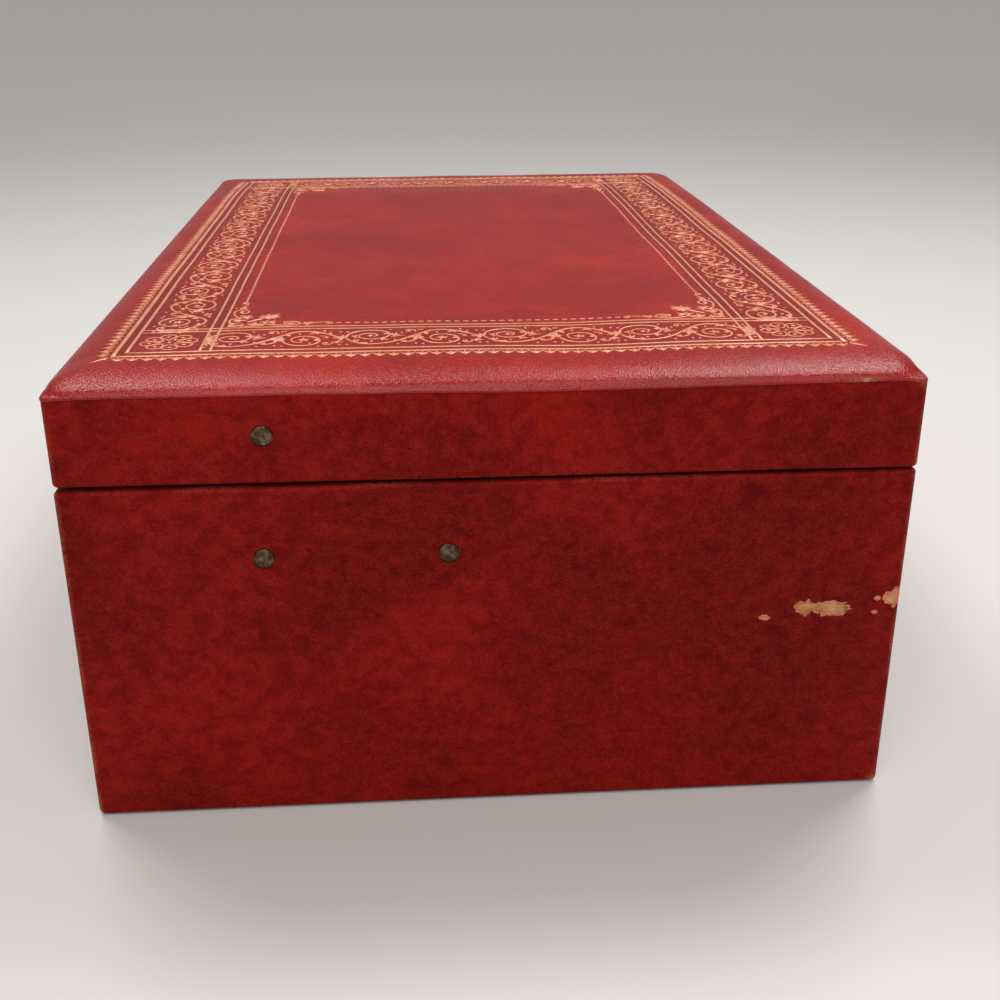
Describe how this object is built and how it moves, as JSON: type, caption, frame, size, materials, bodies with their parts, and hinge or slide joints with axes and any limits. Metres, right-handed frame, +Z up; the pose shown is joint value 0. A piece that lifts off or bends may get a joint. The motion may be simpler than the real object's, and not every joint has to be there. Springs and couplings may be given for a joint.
{
  "type": "cantilever jewelry box",
  "caption": "Long leatherette-covered box with a padded, gold-bordered lid that lifts a level lined tray up and back on side arms as it opens.",
  "frame": {"origin": "middle of the underside of the case, on the face that it rests on", "axes": "+X along the length towards the right end, the front of the box at -Y, the hinged back at +Y, +Z up"},
  "size_m": [0.3044, 0.1927, 0.1082],
  "materials": {
    "board": "raw board under the covering",
    "leatherette_sides": "satin mottled leatherette paper",
    "leatherette_top": "padded leatherette with a semi-gloss pebble grain",
    "felt": "flat felt",
    "velvet": "short pile velvet",
    "satin": "puffed satin",
    "foam": "open foam",
    "steel": "stamped, satin",
    "brass": "aged",
    "gilding": "thin tooled gold foil"
  },
  "bodies": {
    "base": {"base_left_wall": "board", "base_right_wall": "board", "base_front_wall": "board", "base_back_wall": "board", "base_bottom_board": "board", "base_wrap": "leatherette_sides", "base_felt": "felt", "base_wall_lining": "velvet", "base_floor_pad": "velvet", "base_long_divider": "velvet", "base_rear_divider_left": "velvet", "base_rear_divider_right": "velvet", "base_front_divider_left": "velvet", "base_front_divider_right": "velvet", "catch_clip": "brass", "hinge_base_leaf": "brass", "hinge_pin": "steel", "base_rear_rivets": "brass", "base_front_rivets": "brass", "base_pivot_spacers": "steel"},
    "lid": {"lid_left_rail": "board", "lid_right_rail": "board", "lid_front_rail": "board", "lid_back_rail": "board", "lid_top_board": "board", "lid_side_wrap": "leatherette_sides", "lid_foam_pad": "foam", "lid_top_cover": "leatherette_top", "lid_rail_lining": "velvet", "lid_lining_pad": "satin", "hinge_lid_leaf": "brass", "catch_stud": "brass", "lid_rivets": "brass", "lid_pivot_washers": "steel"},
    "rear_arm_left": {"rear_arm_left": "steel", "link_pin_left": "steel"},
    "rear_arm_right": {"rear_arm_right": "steel", "link_pin_right": "steel"},
    "front_arm_left": {"front_arm_left": "steel"},
    "front_arm_right": {"front_arm_right": "steel"},
    "lid_link_left": {"lid_link_left": "steel"},
    "lid_link_right": {"lid_link_right": "steel"},
    "tray": {"tray_left_wall": "velvet", "tray_right_wall": "velvet", "tray_front_wall": "velvet", "tray_back_wall": "velvet", "tray_floor": "velvet", "tray_divider_left": "velvet", "tray_divider_right": "velvet", "tray_divider_middle": "velvet", "tray_floor_pads": "velvet", "tray_ring_rolls": "velvet", "tray_rear_pins": "steel", "tray_front_pins": "steel"}
  },
  "joints": [
    {"name": "lid_hinge", "type": "hinge", "parent": "base", "child": "lid", "pos_m": [0, 0.0964, 0.0838], "axis": [-1, 0, 0], "range_deg": [0, 95]},
    {"name": "rear_arm_left_pivot", "type": "hinge", "parent": "base", "child": "rear_arm_left", "pos_m": [-0.1415, 0.0512, 0.0665], "axis": [-1, 0, 0], "range_deg": [0, 95]},
    {"name": "front_arm_left_pivot", "type": "hinge", "parent": "base", "child": "front_arm_left", "pos_m": [-0.1434, 0.0103, 0.0665], "axis": [-1, 0, 0], "range_deg": [0, 95]},
    {"name": "lid_link_left_pivot", "type": "hinge", "parent": "lid", "child": "lid_link_left", "pos_m": [-0.1434, 0.0497, 0.0952], "axis": [-1, 0, 0], "range_deg": [-95, 0]},
    {"name": "rear_arm_right_pivot", "type": "hinge", "parent": "base", "child": "rear_arm_right", "pos_m": [0.1415, 0.0512, 0.0665], "axis": [-1, 0, 0], "range_deg": [0, 95]},
    {"name": "front_arm_right_pivot", "type": "hinge", "parent": "base", "child": "front_arm_right", "pos_m": [0.1434, 0.0103, 0.0665], "axis": [-1, 0, 0], "range_deg": [0, 95]},
    {"name": "lid_link_right_pivot", "type": "hinge", "parent": "lid", "child": "lid_link_right", "pos_m": [0.1434, 0.0497, 0.0952], "axis": [-1, 0, 0], "range_deg": [-95, 0]},
    {"name": "tray_pivot", "type": "hinge", "parent": "rear_arm_left", "child": "tray", "pos_m": [-0.1415, -0.00787, 0.056], "axis": [-1, 0, 0], "range_deg": [-95, 0]}
  ],
  "couplings": [
    {"joint": "rear_arm_left_pivot", "follows": "lid_hinge", "ratio": 1},
    {"joint": "front_arm_left_pivot", "follows": "lid_hinge", "ratio": 1},
    {"joint": "lid_link_left_pivot", "follows": "lid_hinge", "ratio": -1},
    {"joint": "rear_arm_right_pivot", "follows": "lid_hinge", "ratio": 1},
    {"joint": "front_arm_right_pivot", "follows": "lid_hinge", "ratio": 1},
    {"joint": "lid_link_right_pivot", "follows": "lid_hinge", "ratio": -1},
    {"joint": "tray_pivot", "follows": "lid_hinge", "ratio": -1}
  ]
}
